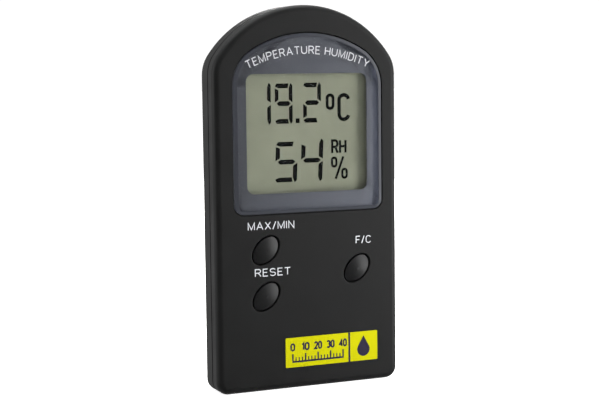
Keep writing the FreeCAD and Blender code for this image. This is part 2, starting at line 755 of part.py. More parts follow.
def ball_top(body, crest, radius, reach):
    """Turns the top of a pad down to a ball surface whose highest point is at Y=crest."""
    top, ball, side = value(crest), value(radius), value(reach)
    rim = top + ball - math.sqrt(ball ** 2 - side ** 2)
    above = "(%s) - 0.2" % crest
    sketch = new_sketch(body, "XY_Plane")
    curve = arc(sketch, (0, top + ball), ball, -90, math.degrees(math.asin(side / ball)) - 90)
    walls = [line(sketch, (side, rim), (side, top - 0.2)), line(sketch, (side, top - 0.2), (0, top - 0.2)),
             line(sketch, (0, top - 0.2), (0, top))]
    loop = [curve] + walls
    for here, after in zip(loop, loop[1:] + loop[:1]):
        sketch.addConstraint(Sketcher.Constraint("Coincident", here, 2, after, 1))
    pin(sketch, curve, 3, 0, "(%s) + (%s)" % (crest, radius))
    size(sketch, radius, "Radius", curve)
    sketch.addConstraint(Sketcher.Constraint("Vertical", walls[0]))
    pin(sketch, walls[1], 1, reach, above)
    pin(sketch, walls[1], 2, 0, above)
    sketch.addConstraint(Sketcher.Constraint("Vertical", walls[2]))
    made, before = feature(body, "Groove", sketch, ReferenceAxis=(sketch, ["V_Axis"]), Angle=360)
    settle(body, made, before, False)


def push_key(name, key_x, key_z):
    body = new_body("button_" + name, (key_x, 0, key_z), ((0, -1, 0), "key_tilt"))
    major = "key_major - key_gap * 2"
    minor = "key_minor - key_gap * 2"
    crest = "face_y - key_proud"
    pad(body, crest, "flange_front_y", lambda s: oval(s, major, minor))
    ball_top(body, crest, "key_ball", "key_major / 2 + 0.2")
    pad(body, "flange_front_y", "flange_back_y", lambda s: oval(
        s, "key_major + key_flange * 2", "key_minor + key_flange * 2"))
    return body


def contact_pill(name, key_x, key_z):
    body = new_body("contact_pill_" + name, (key_x, 0, key_z))
    pad(body, "pill_front_y", "pill_back_y", lambda s: circle(s, 0, 0, 1.7))
    return body


def keypad_mat():
    """Silicone sheet with one collapsing dome and plunger under each key."""
    body = new_body("keypad_mat")
    pad(body, "mat_front_y", "board_front_y", lambda s: round_rectangle(
        s, "key_left - 6.2", "key_right + 5.4", "board_bottom - 0.8", "key_max_min_z + 5.4", "2"))
    for name, key_x, key_z in KEYS:
        pad(body, "mat_front_y - 1.5", "mat_front_y", lambda s: circle(s, key_x, key_z, 3.6))
        pad(body, "flange_back_y", "mat_front_y - 1.5", lambda s: circle(s, key_x, key_z, 2.4))
        cut(body, "pill_front_y", "board_front_y", lambda s: circle(s, key_x, key_z, 2.9))
    return body


# ---------------------------------------------------------------- power

def battery():
    """AAA cell lying along X, raised end to the right."""
    body = new_body("battery", (0, "cell_axis_y", "cell_z"))
    shoulder = "cell_tip - 0.9"
    end = "cell_tip - cell_length"
    sketch = new_sketch(body, "XY_Plane")
    polygon(sketch, (end, 0), (end, 4.6), (end + " + 0.3", 4.6), (end + " + 0.3", "cell_radius"),
            (shoulder + " - 0.4", "cell_radius"), (shoulder, "cell_radius - 0.4"), (shoulder, 1.9),
            ("cell_tip - 0.2", 1.9), ("cell_tip", 1.7), ("cell_tip", 0))
    made, before = feature(body, "Revolution", sketch, ReferenceAxis=(sketch, ["H_Axis"]), Angle=360)
    settle(body, made, before, True)
    return body


def contact_plate(body, middle):
    across("Pad", body, "0.3", lambda s: rectangle(
        s, "cell_axis_y - 4.2", "cell_axis_y + 4.2", "cell_z - 4.2", "cell_z + 4.2"), middle)
    across("Pad", body, "0.3", lambda s: rectangle(
        s, "cell_axis_y - 1.5", "cell_axis_y + 0.9", "cell_z + 4.1", "bay_top + 2.8"), middle)


def contact_positive():
    body = new_body("contact_positive")
    contact_plate(body, "cell_tip + 0.25")
    return body


def contact_negative():
    """Plate with a coil spring pressing on the cell's flat end."""
    body = new_body("contact_negative")
    contact_plate(body, "-(bay_half - 0.25)")
    spring = new_sketch(body, "XY_Plane", ("-(bay_half - 0.68)", "cell_axis_y", "cell_z"))
    circle(spring, 0, 3.2, 0.32)
    made, before = feature(body, "AdditiveHelix", spring, ReferenceAxis=(spring, ["H_Axis"]),
                           Mode=0)
    made.Pitch = 1.0
    bind(made, "Height", "bay_half * 2 - 0.68 - (bay_half - cell_tip) - cell_length - 0.36")
    settle(body, made, before, True)
    return body


def lead(label, side):
    """Insulated wire from the contact tab, under the screw boss and up onto the board."""
    body = new_body(label)
    path = new_sketch(body, offset=(0, 0, "-(board_back_y + 0.7)"))
    x0, x1, x2 = side * 23.6, side * 18.5, side * 17.0
    run = line(path, (x0, 16.1), (x1, 16.1))
    if side > 0:
        bend = arc(path, (x1, 17.6), 1.5, 180, 270)
        loop = [(run, 2), (bend, 2), (bend, 1)]
    else:
        bend = arc(path, (x1, 17.6), 1.5, 270, 360)
        loop = [(run, 2), (bend, 1), (bend, 2)]
    rise = line(path, (x2, 17.6), (x2, 26.0))
    path.addConstraint(Sketcher.Constraint("Tangent", *loop[0], *loop[1]))
    path.addConstraint(Sketcher.Constraint("Tangent", *loop[2], rise, 1))
    path.addConstraint(Sketcher.Constraint("Horizontal", run))
    pin(path, run, 1, x0, "bay_top + tray_wall + 0.9")
    pin(path, rise, 2, x2, "board_bottom + 2.5")
    size(path, 1.5, "Radius", bend)
    path.addConstraint(Sketcher.Constraint("Vertical", rise))
    profile = new_sketch(body, "YZ_Plane", ("board_back_y + 0.7", "bay_top + tray_wall + 0.9", x0))
    circle(profile, 0, 0, 0.55)
    made, before = feature(body, "AdditivePipe", profile, Spine=(path, []))
    settle(body, made, before, True)
    return body


# ---------------------------------------------------------------- screws

def screw(label, x_rule, z_rule, seat, reach, shank, head):
    """Pan-head screw driven forwards; seat is the Y of the head's underside."""
    body = new_body(label, (x_rule, seat, z_rule))
    spin("Revolution", body, [(0, "-(%s)" % reach), (value(shank) * 0.5, "-(%s)" % reach),
                              (shank, "1 - (%s)" % reach), (shank, 0), (head, 0),
                              (head, 0.85), (head - 0.45, 1.3), (0, 1.3)])
    for wide, tall in ((head * 1.3, 0.45), (0.45, head * 1.3)):
        cut(body, 0.65, 1.3, lambda s: rectangle(s, -wide / 2, wide / 2, -tall / 2, tall / 2))
    return body


def screws():
    made = []
    low_high = (("low", "case_screw_side", "case_screw_low"),
                ("high", "case_screw_inner", "case_screw_high"))
    for name, x_rule, z_rule in low_high:
        for side, sign in (("left", "-"), ("right", "")):
            made.append(screw("case_screw_%s_%s" % (name, side), sign + x_rule, z_rule,
                              "head_seat_y", "head_seat_y - boss_meet_y + 5.2", "case_shank", 2.0))
    for name, x_rule, z_rule in (("left", "-board_screw_side", "board_screw_low"),
                                 ("right", "board_screw_side", "board_screw_low"),
                                 ("top", "0", "board_screw_high")):
        made.append(screw("board_screw_" + name, x_rule, z_rule, "board_back_y", "3.9",
                          "board_shank", 1.8))
    return made


# ---------------------------------------------------------------- build, check, write

def build():
    made = [front_cover(), rear_cover(), battery_door(), stand(), display_lens(), lens_mask(),
            lens_tape(), front_label(), lcd_holder(), zebra_strip(), circuit_board(), chip_blob(),
            crystal(), humidity_sensor(), thermistor(), keypad_mat(), battery(),
            contact_positive(), contact_negative(), lead("lead_red", 1), lead("lead_black", -1)]
    made += display_stack()
    made += small_parts()
    for key in KEYS:
        made += [push_key(*key), contact_pill(*key)]
    made += screws()
    return made


def check_and_write(bodies):
    doc.recompute()
    for thing in doc.Objects:
        if "Invalid" in thing.State or "Error" in thing.State:
            raise ValueError("%s (%s) did not build" % (thing.Name, thing.Label))
    for body in bodies:
        if body.Shape.isNull() or not body.Shape.isValid() or len(body.Shape.Solids) != 1:
            raise ValueError("%s is not one valid solid" % body.Label)
    for body in bodies:
        body.Shape.exportStep("parts/%s.step" % body.Label)
        print("%-24s %9.2f mm3" % (body.Label, body.Shape.Volume))


check_and_write(build())
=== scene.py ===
import math

import bmesh
import bpy
from mathutils import Matrix, Vector


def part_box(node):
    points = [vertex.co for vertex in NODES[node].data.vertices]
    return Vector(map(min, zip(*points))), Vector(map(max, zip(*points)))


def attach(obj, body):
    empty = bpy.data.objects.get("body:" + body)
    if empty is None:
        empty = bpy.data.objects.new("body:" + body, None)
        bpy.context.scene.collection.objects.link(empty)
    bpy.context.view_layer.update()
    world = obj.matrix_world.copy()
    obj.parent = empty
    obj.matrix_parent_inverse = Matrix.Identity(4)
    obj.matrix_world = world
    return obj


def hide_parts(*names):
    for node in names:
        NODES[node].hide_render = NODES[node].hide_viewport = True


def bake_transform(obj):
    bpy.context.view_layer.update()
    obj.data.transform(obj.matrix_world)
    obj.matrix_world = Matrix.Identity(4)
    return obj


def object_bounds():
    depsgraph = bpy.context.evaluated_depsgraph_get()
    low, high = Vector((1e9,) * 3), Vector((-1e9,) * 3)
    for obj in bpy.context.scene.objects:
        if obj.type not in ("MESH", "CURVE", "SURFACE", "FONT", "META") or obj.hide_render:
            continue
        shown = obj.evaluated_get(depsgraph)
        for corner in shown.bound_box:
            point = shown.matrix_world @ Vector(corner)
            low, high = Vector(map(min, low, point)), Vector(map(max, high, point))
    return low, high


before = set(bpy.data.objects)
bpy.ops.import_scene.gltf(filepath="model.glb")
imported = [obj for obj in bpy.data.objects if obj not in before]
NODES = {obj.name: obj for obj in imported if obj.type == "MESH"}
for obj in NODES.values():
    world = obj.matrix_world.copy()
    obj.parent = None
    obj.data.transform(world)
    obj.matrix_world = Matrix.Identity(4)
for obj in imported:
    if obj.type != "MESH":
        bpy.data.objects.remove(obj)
CAD_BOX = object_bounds()
MM = 0.001
PRINT = 0.018           # thickness of ink, and of a dark display bar, in mm
OVERLAP_STEPS = 10      # each further stroke of a sign lies PRINT / OVERLAP_STEPS forward
MITRE_LIMIT = 0.45      # keeps the outside of a sharp corner from running away
CLOSED_GAP = 0.01       # a stroke whose ends are nearer than this, in mm, is a closed loop
CORNER_STEPS = 8        # spans along a rounded corner
ROUND_STEPS = 40        # points round a turned shape
LETTER_GAP = 0.28       # between letters and between words, in cap heights
WORD_GAP = 0.42


# ------------------------------------------------------------------ mesh helpers

def add_object(name, data):
    """New object in the scene, holding a mesh, a lamp or a camera."""
    thing = bpy.data.objects.new(name, data)
    bpy.context.scene.collection.objects.link(thing)
    return thing


def box_mm(name):
    """Low and high corner of a CAD piece in millimetres."""
    return [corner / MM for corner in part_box(name)]


def place(name, verts, faces, material, body="case", smooth=False):
    """New piece from vertices in millimetres, riding on a CAD body if one is named."""
    mesh = bpy.data.meshes.new(name)
    mesh.from_pydata([Vector(v) * MM for v in verts], [], faces)
    mesh.validate()
    mesh.update()
    tidy = bmesh.new()
    tidy.from_mesh(mesh)
    bmesh.ops.recalc_face_normals(tidy, faces=tidy.faces)
    tidy.to_mesh(mesh)
    tidy.free()
    piece = add_object(name, mesh)
    mesh.materials.append(material)
    for polygon in mesh.polygons:
        polygon.use_smooth = smooth
    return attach(piece, body) if body else piece


def prism(outline, front, thick):
    """Flat (x, z) outline as a solid plate from Y=front back by thick."""
    count = len(outline)
    verts = [(x, front, z) for x, z in outline] + [(x, front + thick, z) for x, z in outline]
    faces = [tuple(range(count)), tuple(range(2 * count - 1, count - 1, -1))]
    faces += [(i, i + count, (i + 1) % count + count, (i + 1) % count) for i in range(count)]
    return verts, faces


def gather(parts):
    """Joins (verts, faces) lists into one."""
    verts, faces = [], []
    for part_verts, part_faces in parts:
        base = len(verts)
        verts += part_verts
        faces += [tuple(i + base for i in face) for face in part_faces]
    return verts, faces


def ribbon(path, width, front, thick, closed):
    """Stroke of even width along an (x, z) path, as a thin solid with mitred corners."""
    count = len(path)
    left, right = [], []
    for i, (x, z) in enumerate(path):
        after = Vector(path[(i + 1) % count]) - Vector(path[i])
        before = Vector(path[i]) - Vector(path[i - 1])
        if not closed and i == 0:
            before = after
        if not closed and i == count - 1:
            after = before
        heading = (before.normalized() + after.normalized()).normalized()
        spread = width / 2 / max(MITRE_LIMIT, heading.dot(after.normalized()))
        left.append((x - heading.y * spread, z + heading.x * spread))
        right.append((x + heading.y * spread, z - heading.x * spread))
    rings = [left, right]
    verts = [(x, y, z) for y in (front, front + thick) for ring in rings for x, z in ring]
    l0, r0, l1, r1 = 0, count, 2 * count, 3 * count
    faces = []
    for i in range(count if closed else count - 1):
        j = (i + 1) % count
        faces += [(l0 + i, l0 + j, r0 + j, r0 + i), (l1 + i, r1 + i, r1 + j, l1 + j),
                  (l0 + i, l1 + i, l1 + j, l0 + j), (r0 + i, r0 + j, r1 + j, r1 + i)]
    if not closed:
        faces += [(l0, r0, r1, l1), (l0 + count - 1, l1 + count - 1, r1 + count - 1, r0 + count - 1)]
    return verts, faces


def arc_path(cx, cz, rx, rz, start, end, steps):
    """Points along an elliptical arc, with its angles in degrees."""
    return [(cx + rx * math.cos(math.radians(start + (end - start) * i / steps)),
             cz + rz * math.sin(math.radians(start + (end - start) * i / steps)))
            for i in range(steps + 1)]


def capsule_path(x0, x1, z0, z1, radius):
    """Closed rounded-rectangle path, anticlockwise."""
    path = []
    for cx, cz, start in ((x1 - radius, z0 + radius, -90), (x1 - radius, z1 - radius, 0),
                          (x0 + radius, z1 - radius, 90), (x0 + radius, z0 + radius, 180)):
        path += arc_path(cx, cz, radius, radius, start, start + 90, CORNER_STEPS)
    return path


# ------------------------------------------------------------------ lettering

def letter_shapes():
    """Plain single-stroke capitals and figures, one unit tall: strokes and width of each sign."""
    bowl = arc_path(0.34, 0.745, 0.25, 0.255, 90, -90, 8)
    hook = arc_path(0.32, 0.68, 0.32, 0.32, 25, 180, 10)
    hook += arc_path(0.32, 0.32, 0.32, 0.32, 180, 335, 10)
    curl = arc_path(0.3, 0.745, 0.29, 0.255, 25, 270, 12)
    curl += arc_path(0.3, 0.25, 0.3, 0.25, 80, -155, 12)
    swan = arc_path(0.28, 0.72, 0.28, 0.28, 165, -35, 10) + [(0, 0), (0.57, 0)]
    drum = arc_path(0.3, 0.36, 0.33, 0.33, 180, 360, 10)
    tall = arc_path(0.28, 0.70, 0.28, 0.30, 0, 180, 10)
    tall += arc_path(0.28, 0.30, 0.28, 0.30, 180, 360, 10)
    tall.append(tall[0])
    belly = arc_path(0.24, 0.65, 0.36, 0.35, 90, 0, 8) + arc_path(0.24, 0.35, 0.36, 0.35, 0, -90, 8)
    cap = arc_path(0.27, 0.745, 0.27, 0.255, 155, -90, 10)
    base = arc_path(0.27, 0.26, 0.30, 0.26, 80, -155, 10)
    return {
        "A": (0.72, [[(0, 0), (0.36, 1), (0.72, 0)], [(0.13, 0.34), (0.59, 0.34)]]),
        "C": (0.62, [hook]),
        "D": (0.60, [[(0, 0), (0, 1)] + belly + [(0, 0)]]),
        "E": (0.50, [[(0.50, 1), (0, 1), (0, 0), (0.52, 0)], [(0, 0.52), (0.44, 0.52)]]),
        "F": (0.50, [[(0.52, 1), (0, 1), (0, 0)], [(0, 0.50), (0.44, 0.50)]]),
        "H": (0.62, [[(0, 0), (0, 1)], [(0.62, 0), (0.62, 1)], [(0, 0.52), (0.62, 0.52)]]),
        "I": (0.0, [[(0, 0), (0, 1)]]),
        "M": (0.74, [[(0, 0), (0, 1), (0.37, 0.06), (0.74, 1), (0.74, 0)]]),
        "N": (0.62, [[(0, 0), (0, 1), (0.62, 0), (0.62, 1)]]),
        "P": (0.57, [[(0, 0), (0, 1)] + bowl + [(0, 0.49)]]),
        "R": (0.60, [[(0, 0), (0, 1)] + bowl + [(0, 0.49)], [(0.34, 0.49), (0.62, 0)]]),
        "S": (0.60, [curl]),
        "T": (0.62, [[(0, 1), (0.62, 1)], [(0.31, 1), (0.31, 0)]]),
        "U": (0.62, [[(-0.03, 1)] + drum + [(0.63, 1)]]),
        "X": (0.64, [[(0, 0), (0.62, 1)], [(0.02, 1), (0.64, 0)]]),
        "Y": (0.66, [[(0, 1), (0.33, 0.44), (0.66, 1)], [(0.33, 0.44), (0.33, 0)]]),
        "/": (0.34, [[(0, -0.03), (0.34, 1.03)]]),
        "0": (0.56, [tall]),
        "1": (0.25, [[(0, 0.78), (0.25, 1), (0.25, 0)]]),
        "2": (0.57, [swan]),
        "3": (0.57, [cap, base]),
        "4": (0.60, [[(0.44, 0), (0.44, 1), (0, 0.30), (0.60, 0.30)]]),
    }


def letter_row(text):
    """Signs of a line with the place of each one's middle, and the whole width, in cap heights."""
    shapes = letter_shapes()
    row, reach = [], 0.0
    for sign in text:
        if sign == " ":
            reach += WORD_GAP
            continue
        width, strokes = shapes[sign]
        row.append((reach + width / 2, width, strokes))
        reach += width + LETTER_GAP
    return row, reach - LETTER_GAP


def drawn(strokes, spot, weight, front):
    """Strokes as thin solids; each lies a hair further forward so that crossings stay clean."""
    parts = []
    for order, stroke in enumerate(strokes):
        path = [spot(u, v) for u, v in stroke]
        closed = math.dist(path[0], path[-1]) < CLOSED_GAP
        step = order * PRINT / OVERLAP_STEPS
        parts.append(ribbon(path[:-1] if closed else path, weight, front - PRINT - step,
                            PRINT + step, closed))
    return gather(parts)


def straight_text(text, left, right, bottom, top, weight, front):
    """Line of lettering that fills a box on a plane of constant Y."""
    row, total = letter_row(text)
    wide = (right - left - weight) / total
    tall = top - bottom - weight
    parts = []
    for middle, width, strokes in row:
        start = left + weight / 2 + (middle - width / 2) * wide

        def spot(u, v):
            return start + u * wide, bottom + weight / 2 + v * tall

        parts.append(drawn(strokes, spot, weight, front))
    return gather(parts)


def arched_text(text, centre, radius, half_angle, cap, weight, front):
    """Line of lettering bent round an arch, each letter turned as a whole."""
    row, total = letter_row(text)
    span = 2 * math.radians(half_angle) * radius
    wide = (span - weight) / total
    tall = cap - weight
    parts = []
    for middle, width, strokes in row:
        turn = math.radians(half_angle) - (weight / 2 + middle * wide) / radius

        def spot(u, v):
            reach = radius + weight / 2 + v * tall
            across = (u - width / 2) * wide
            return (centre[0] - math.sin(turn) * reach + math.cos(turn) * across,
                    centre[1] + math.cos(turn) * reach + math.sin(turn) * across)

        parts.append(drawn(strokes, spot, weight, front))
    return gather(parts)


# ------------------------------------------------------------------ materials

NODE_SETTINGS = ("operation", "blend_type", "data_type", "samples")
BEVEL_SAMPLES = 4
WEAR_RADIUS_MM = 0.35
CLOUD = (0.3, 0.7)      # the part of a noise's range that a ramp spreads out


class Shader:
    """Small wrapper that keeps node graphs readable."""

    def __init__(self, name):
        self.material = bpy.data.materials.new(name)
        self.material.use_nodes = True
        self.tree = self.material.node_tree
        self.bsdf = self.tree.nodes["Principled BSDF"]
        self.output = self.tree.nodes["Material Output"]

    def add(self, kind, **settings):
        """New node; a setting is one of NODE_SETTINGS or the name of an input."""
        node = self.tree.nodes.new("ShaderNode" + kind)
        for key, setting in settings.items():
            if key in NODE_SETTINGS:
                setattr(node, key, setting)
            else:
                node.inputs[key].default_value = setting
        return node

    def link(self, source, target):
        self.tree.links.new(source, target)

    def feed(self, item, socket):
        """Sets a socket from a number, an RGB colour or another node's output."""
        if isinstance(item, tuple):
            socket.default_value = (*item, 1.0)
        elif isinstance(item, (int, float)):
            socket.default_value = item
        else:
            self.link(item, socket)

    def position(self):
        return self.add("TexCoord").outputs["Object"]

    def noise(self, size_mm, detail=2.0, rough=0.5, stretch=None):
        node = self.add("TexNoise", Scale=1.0 / (size_mm * MM), Detail=detail, Roughness=rough)
        source = self.position()
        if stretch:
            scale = self.add("Mapping", Scale=stretch)
            self.link(source, scale.inputs["Vector"])
            source = scale.outputs["Vector"]
        self.link(source, node.inputs["Vector"])
        return node.outputs["Fac"]

    def ramp(self, source, low, high, at_low=0.0, at_high=1.0):
        node = self.add("MapRange")
        for socket, value in (("From Min", low), ("From Max", high), ("To Min", at_low),
                              ("To Max", at_high)):
            node.inputs[socket].default_value = value
        self.link(source, node.inputs["Value"])
        return node.outputs["Result"]

    def mix(self, share, first, second):
        """Colour that goes from the first to the second as share goes from 0 to 1."""
        node = self.add("Mix", data_type="RGBA")
        self.feed(first, node.inputs[6])
        self.feed(second, node.inputs[7])
        self.link(share, node.inputs[0])
        return node.outputs[2]

    def maths(self, operation, first, second):
        node = self.add("Math", operation=operation)
        self.feed(first, node.inputs[0])
        self.feed(second, node.inputs[1])
        return node.outputs[0]

    def layers(self, share, under, over):
        """Blend of two surfaces; share is how much of the second one shows."""
        node = self.add("MixShader")
        self.link(share, node.inputs[0])
        self.link(under, node.inputs[1])
        self.link(over, node.inputs[2])
        return node.outputs[0]

    def surface(self, source):
        self.link(source, self.output.inputs["Surface"])
        return self.material

    def edge_wear(self):
        """1 along convex and concave edges, 0 on open faces."""
        bevel = self.add("Bevel", samples=BEVEL_SAMPLES, Radius=WEAR_RADIUS_MM * MM)
        geometry = self.add("NewGeometry")
        dot = self.add("VectorMath", operation="DOT_PRODUCT")
        self.link(bevel.outputs["Normal"], dot.inputs[0])
        self.link(geometry.outputs["Normal"], dot.inputs[1])
        return self.ramp(dot.outputs["Value"], 1.0, 0.75)

    def bump(self, source, depth_mm, soften_mm=0.0):
        """Bumps of a given depth, over edges that look rounded by soften_mm."""
        normal = None
        if soften_mm:
            normal = self.add("Bevel", samples=BEVEL_SAMPLES, Radius=soften_mm * MM).outputs["Normal"]
        node = self.add("Bump", Strength=1.0, Distance=depth_mm * MM)
        self.link(source, node.inputs["Height"])
        if normal:
            self.link(normal, node.inputs["Normal"])
        self.link(node.outputs["Normal"], self.bsdf.inputs["Normal"])

    def finish(self, color, rough, metal=0.0, coat=0.0, specular=0.5):
        for socket, item in (("Base Color", color), ("Roughness", rough), ("Metallic", metal),
                             ("Coat Weight", coat), ("Specular IOR Level", specular)):
            self.feed(item, self.bsdf.inputs[socket])
        return self.material


def scaled(color, factor, offset=0.0):
    return tuple(min(1.0, channel * factor + offset) for channel in color)


RUBBED_SHADE = (1.7, 0.002)     # factor and offset of a rubbed edge's colour
RUBBED_GLOSS = 0.1              # how much smoother a fully rubbed edge is
GLANCING = (0.64, 0.88)         # span of the viewing slant over which the sheen dies down
GLANCING_SHEEN = 0.2            # share of the sheen left beyond it


def moulded_plastic(name, color, rough, grain_mm=0.16, depth_mm=0.006, wear=0.35, specular=0.5,
                    soften_mm=0.12):
    """Spark-textured moulding: fine grain, cloudy gloss, lighter rubbed edges."""
    s = Shader(name)
    grain = s.noise(grain_mm, 3.0, 0.6)
    cloud = s.noise(9.0, 3.0)
    dust = s.noise(0.9, 2.0, 0.7)
    shade = s.add("Mix", data_type="RGBA", blend_type="MULTIPLY")
    shade.inputs[0].default_value = 1.0
    s.feed(color, shade.inputs[6])
    s.link(s.ramp(cloud, *CLOUD, 0.92, 1.08), shade.inputs[7])
    rubbed = s.maths("MULTIPLY", s.edge_wear(), wear)
    rubbed = s.maths("MULTIPLY", rubbed, s.ramp(dust, 0.35, 0.65))
    base = s.mix(rubbed, shade.outputs[2], scaled(color, *RUBBED_SHADE))
    gloss = s.ramp(cloud, *CLOUD, rough - 0.05, rough + 0.05)
    gloss = s.maths("SUBTRACT", gloss, s.maths("MULTIPLY", rubbed, RUBBED_GLOSS))
    slant = s.add("LayerWeight").outputs["Facing"]
    sheen = s.ramp(slant, *GLANCING, specular, GLANCING_SHEEN * specular)
    s.bump(grain, depth_mm, soften_mm)
    return s.finish(base, gloss, specular=sheen)


def ink(name, color, specular):
    """Screen print: slightly uneven cover."""
    s = Shader(name)
    cover = s.ramp(s.noise(0.35, 3.0), 0.35, 0.7, 0.88, 1.0)
    base = s.mix(cover, scaled(color, 0.8), color)
    s.bump(s.noise(0.12), 0.002)
    return s.finish(base, 0.5, specular=specular)


def brushed_metal(name, color, rough, stretch=(1, 12, 12)):
    """Metal with fine lines drawn out along the axis that is stretched least."""
    s = Shader(name)
    lines = s.noise(0.6, 4.0, 0.7, stretch)
    spots = s.noise(2.2, 3.0)
    base = s.mix(s.ramp(spots, 0.35, 0.75), color, scaled(color, 0.72))
    gloss = s.ramp(lines, *CLOUD, rough - 0.08, rough + 0.12)
    s.bump(lines, 0.003, 0.08)
    return s.finish(base, gloss, metal=1.0)


def glossy_coat(name, color, rough):
    """Smooth sleeve, resin or varnish under a thin clear coat."""
    s = Shader(name)
    cloud = s.noise(3.0, 3.0)
    base = s.mix(s.ramp(cloud, *CLOUD), color, scaled(color, 0.85))
    s.bump(s.noise(0.5), 0.002, 0.08)
    return s.finish(base, s.ramp(cloud, *CLOUD, rough - 0.04, rough + 0.06), coat=0.3)


def window_print_painted_light(name, color):
    """Back-printed border with painted light: lighter from left to right, lighter along its lower
    strip and much lighter by its right rim, where light piped through the clear lens would fill the
    recess wall's shadow.
    """
    s = Shader(name)
    cloud = s.noise(3.0, 3.0)
    spot = s.add("SeparateXYZ")
    s.link(s.add("TexCoord").outputs["Generated"], spot.inputs[0])
    # painted light: the print is painted lighter from left to right, 0.62 to 1.22 times its colour
    across = s.ramp(spot.outputs["X"], 0.0, 1.0, 0.62, 1.22)
    # painted light by the right rim, up to 2.5 times as bright, in place of light the clear lens
    # pipes into the recess wall's shadow
    painted_rim_light = s.ramp(spot.outputs["X"], 0.925, 0.985, 1.0, 2.5)
    # painted light along the lower strip, up to 1.55 times as bright
    lower = s.ramp(spot.outputs["Z"], 0.0, 0.13, 1.55, 1.0)
    speckle = s.ramp(cloud, *CLOUD, 0.96, 1.04)
    # shade here is the painted light times an even print speckle
    shade = s.maths("MULTIPLY", s.maths("MULTIPLY", across, lower),
                    s.maths("MULTIPLY", painted_rim_light, speckle))
    tone = s.add("VectorMath", operation="SCALE")
    tone.inputs[0].default_value = color
    s.link(shade, tone.inputs["Scale"])
    s.bump(s.noise(0.5), 0.002, 0.08)
    return s.finish(tone.outputs[0], s.ramp(cloud, *CLOUD, 0.46, 0.56))


GLARE_LIMIT = 0.035             # most that a clear sheet reflects, at any slant
ACRYLIC_IOR = 1.49


def clear_sheet(name, tint, haze, mirror=1.0):
    """Clear moulding seen as a thin sheet: see-through with a faint reflection and haze."""
    s = Shader(name)
    through = s.add("BsdfTransparent", Color=(*tint, 1.0))
    gloss = s.add("BsdfGlossy", Roughness=0.06)
    fog = s.add("BsdfDiffuse", Color=(0.75, 0.78, 0.85, 1.0))
    fresnel = s.add("Fresnel", IOR=ACRYLIC_IOR)
    wave = s.add("Bump", Strength=1.0, Distance=0.0015 * MM)
    s.link(s.noise(6.0, 1.0), wave.inputs["Height"])
    s.link(wave.outputs["Normal"], gloss.inputs["Normal"])
    s.link(wave.outputs["Normal"], fresnel.inputs["Normal"])
    smudge = s.ramp(s.noise(7.0, 4.0), 0.4, 0.75, haze * 0.5, haze * 1.5)
    foggy = s.layers(smudge, through.outputs[0], fog.outputs[0])
    glare = s.maths("MINIMUM", s.maths("MULTIPLY", fresnel.outputs[0], mirror), GLARE_LIMIT)
    return s.surface(s.layers(glare, foggy, gloss.outputs[0]))


def moulded_rim(name, color):
    """Sloping rim of the clear lens: shows the print behind it but lets light through inside."""
    s = Shader(name)
    base = s.mix(s.ramp(s.noise(4.0, 2.0), *CLOUD), color, scaled(color, 1.12))
    s.finish(base, 0.38, specular=0.2)
    shadow_ray = s.add("LightPath").outputs["Is Shadow Ray"]
    return s.surface(s.layers(shadow_ray, s.bsdf.outputs[0], s.add("BsdfTransparent").outputs[0]))


RECIPES = {
    "front_plastic": (moulded_plastic, (0.0045, 0.0046, 0.0046), 0.50, 0.17, 0.007, 0.25, 0.17),
    "rear_plastic": (moulded_plastic, (0.0056, 0.0057, 0.0057), 0.52, 0.19, 0.009, 0.3, 0.17),
    "key_plastic": (moulded_plastic, (0.0042, 0.0043, 0.0045), 0.40, 0.14, 0.003, 0.2, 0.26),
    # lens border: print colour with painted light from its shader
    "mask_print": (window_print_painted_light, (0.0255, 0.0278, 0.0368)),
    "lens_clear": (clear_sheet, (0.97, 0.975, 0.98), 0.002, 0.4),
    "lens_edge": (moulded_rim, (0.020, 0.0215, 0.0265)),
    "tape": (moulded_plastic, (0.008, 0.008, 0.008), 0.8, 0.3, 0.01),
    "label": (ink, (0.27, 0.262, 0.0005), 0.03),
    "label_ink": (ink, (0.012, 0.009, 0.022), 0.1),
    "legend": (ink, (0.36, 0.37, 0.39), 0.1),
    "arch_legend": (ink, (0.33, 0.335, 0.35), 0.1),
    "polariser": (moulded_plastic, (0.112, 0.116, 0.084), 0.5, 0.05, 0.0006, 0.0, 0.02, 0.0),
    "segment": (ink, (0.0008, 0.0008, 0.0008), 0.02),
    "glass": (clear_sheet, (0.93, 0.96, 0.94), 0.02),
    "reflector": (brushed_metal, (0.6, 0.62, 0.55), 0.5, (1, 1, 30)),
    "holder": (moulded_plastic, (0.55, 0.55, 0.52), 0.5),
    "zebra": (moulded_plastic, (0.22, 0.22, 0.23), 0.7),
    "epoxy": (glossy_coat, (0.006, 0.006, 0.006), 0.22),
    "plated": (brushed_metal, (0.62, 0.61, 0.58), 0.25),
    "sensor": (moulded_plastic, (0.68, 0.68, 0.65), 0.5),
    "bead": (glossy_coat, (0.02, 0.02, 0.022), 0.3),
    "silicone": (moulded_plastic, (0.16, 0.165, 0.17), 0.75, 0.25, 0.004, 0.1),
    "spring_steel": (brushed_metal, (0.6, 0.6, 0.58), 0.22),
    "red_lead": (glossy_coat, (0.42, 0.012, 0.010), 0.35),
    "black_lead": (glossy_coat, (0.012, 0.012, 0.012), 0.35),
    "screw": (brushed_metal, (0.55, 0.55, 0.56), 0.3, (10, 1, 10)),
    "ceramic": (moulded_plastic, (0.35, 0.25, 0.14), 0.4),
    "resistor": (glossy_coat, (0.012, 0.012, 0.014), 0.3),
    "carbon": (moulded_plastic, (0.01, 0.01, 0.01), 0.8),
}
MAT = {name: recipe(name, *values) for name, (recipe, *values) in RECIPES.items()}


